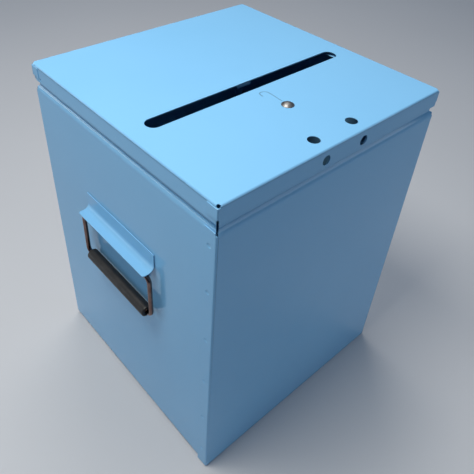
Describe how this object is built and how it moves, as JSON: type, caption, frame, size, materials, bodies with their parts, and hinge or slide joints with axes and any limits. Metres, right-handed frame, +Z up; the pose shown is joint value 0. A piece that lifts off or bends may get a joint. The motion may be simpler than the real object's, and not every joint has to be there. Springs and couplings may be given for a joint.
{
  "type": "donation box",
  "caption": "Folded sheet-steel donation box: hinged lid with a shuttered paper slot and seal holes, and a drop handle with a grip on each side.",
  "frame": {"origin": "centre of the box's footprint, on the surface it stands on", "axes": "+X to the right, -Y to the front (the seal-hole side), +Z up; the hinge is at +Y and the handles are at -X and +X"},
  "size_m": [0.327, 0.297, 0.4029],
  "materials": {
    "painted_steel": "glossy light-blue powder coat",
    "chrome_wire": "polished chrome plating",
    "plated_steel": "dull zinc-plated steel",
    "grip_rubber": "satin black moulded rubber"
  },
  "bodies": {
    "body": {"side_wrap": "painted_steel", "front_panel": "painted_steel", "rear_panel": "painted_steel", "hinge_leaf_body": "painted_steel", "hinge_pin": "plated_steel", "handle_hood_left": "painted_steel", "handle_hood_right": "painted_steel", "handle_strap_left_front": "painted_steel", "handle_strap_left_rear": "painted_steel", "handle_strap_right_front": "painted_steel", "handle_strap_right_rear": "painted_steel"},
    "lid": {"lid_tray": "painted_steel", "hinge_leaf_lid": "painted_steel", "shutter_guide_left": "painted_steel", "shutter_guide_right": "painted_steel", "catch_rivet": "plated_steel", "catch_spacer": "plated_steel"},
    "shutter": {"slot_shutter": "painted_steel"},
    "catch": {"catch_lever": "plated_steel"},
    "handle_left": {"handle_bail_left": "chrome_wire", "handle_grip_left": "grip_rubber"},
    "handle_right": {"handle_bail_right": "chrome_wire", "handle_grip_right": "grip_rubber"}
  },
  "joints": [
    {"name": "lid_hinge", "type": "hinge", "parent": "body", "child": "lid", "pos_m": [0, 0.146, 0.378], "axis": [-1, 0, 0], "range_deg": [0, 105]},
    {"name": "shutter_slide", "type": "slide", "parent": "lid", "child": "shutter", "axis": [0, -1, 0], "range_m": [0, 0.021]},
    {"name": "catch_turn", "type": "hinge", "parent": "lid", "child": "catch", "pos_m": [0, -0.0758, 0.39485], "axis": [0, 0, 1], "range_deg": [0, 60]},
    {"name": "handle_left_swing", "type": "hinge", "parent": "body", "child": "handle_left", "pos_m": [-0.1567, 0, 0.2545], "axis": [0, 1, 0], "range_deg": [0, 90]},
    {"name": "handle_right_swing", "type": "hinge", "parent": "body", "child": "handle_right", "pos_m": [0.1567, 0, 0.2545], "axis": [0, -1, 0], "range_deg": [0, 90]}
  ]
}
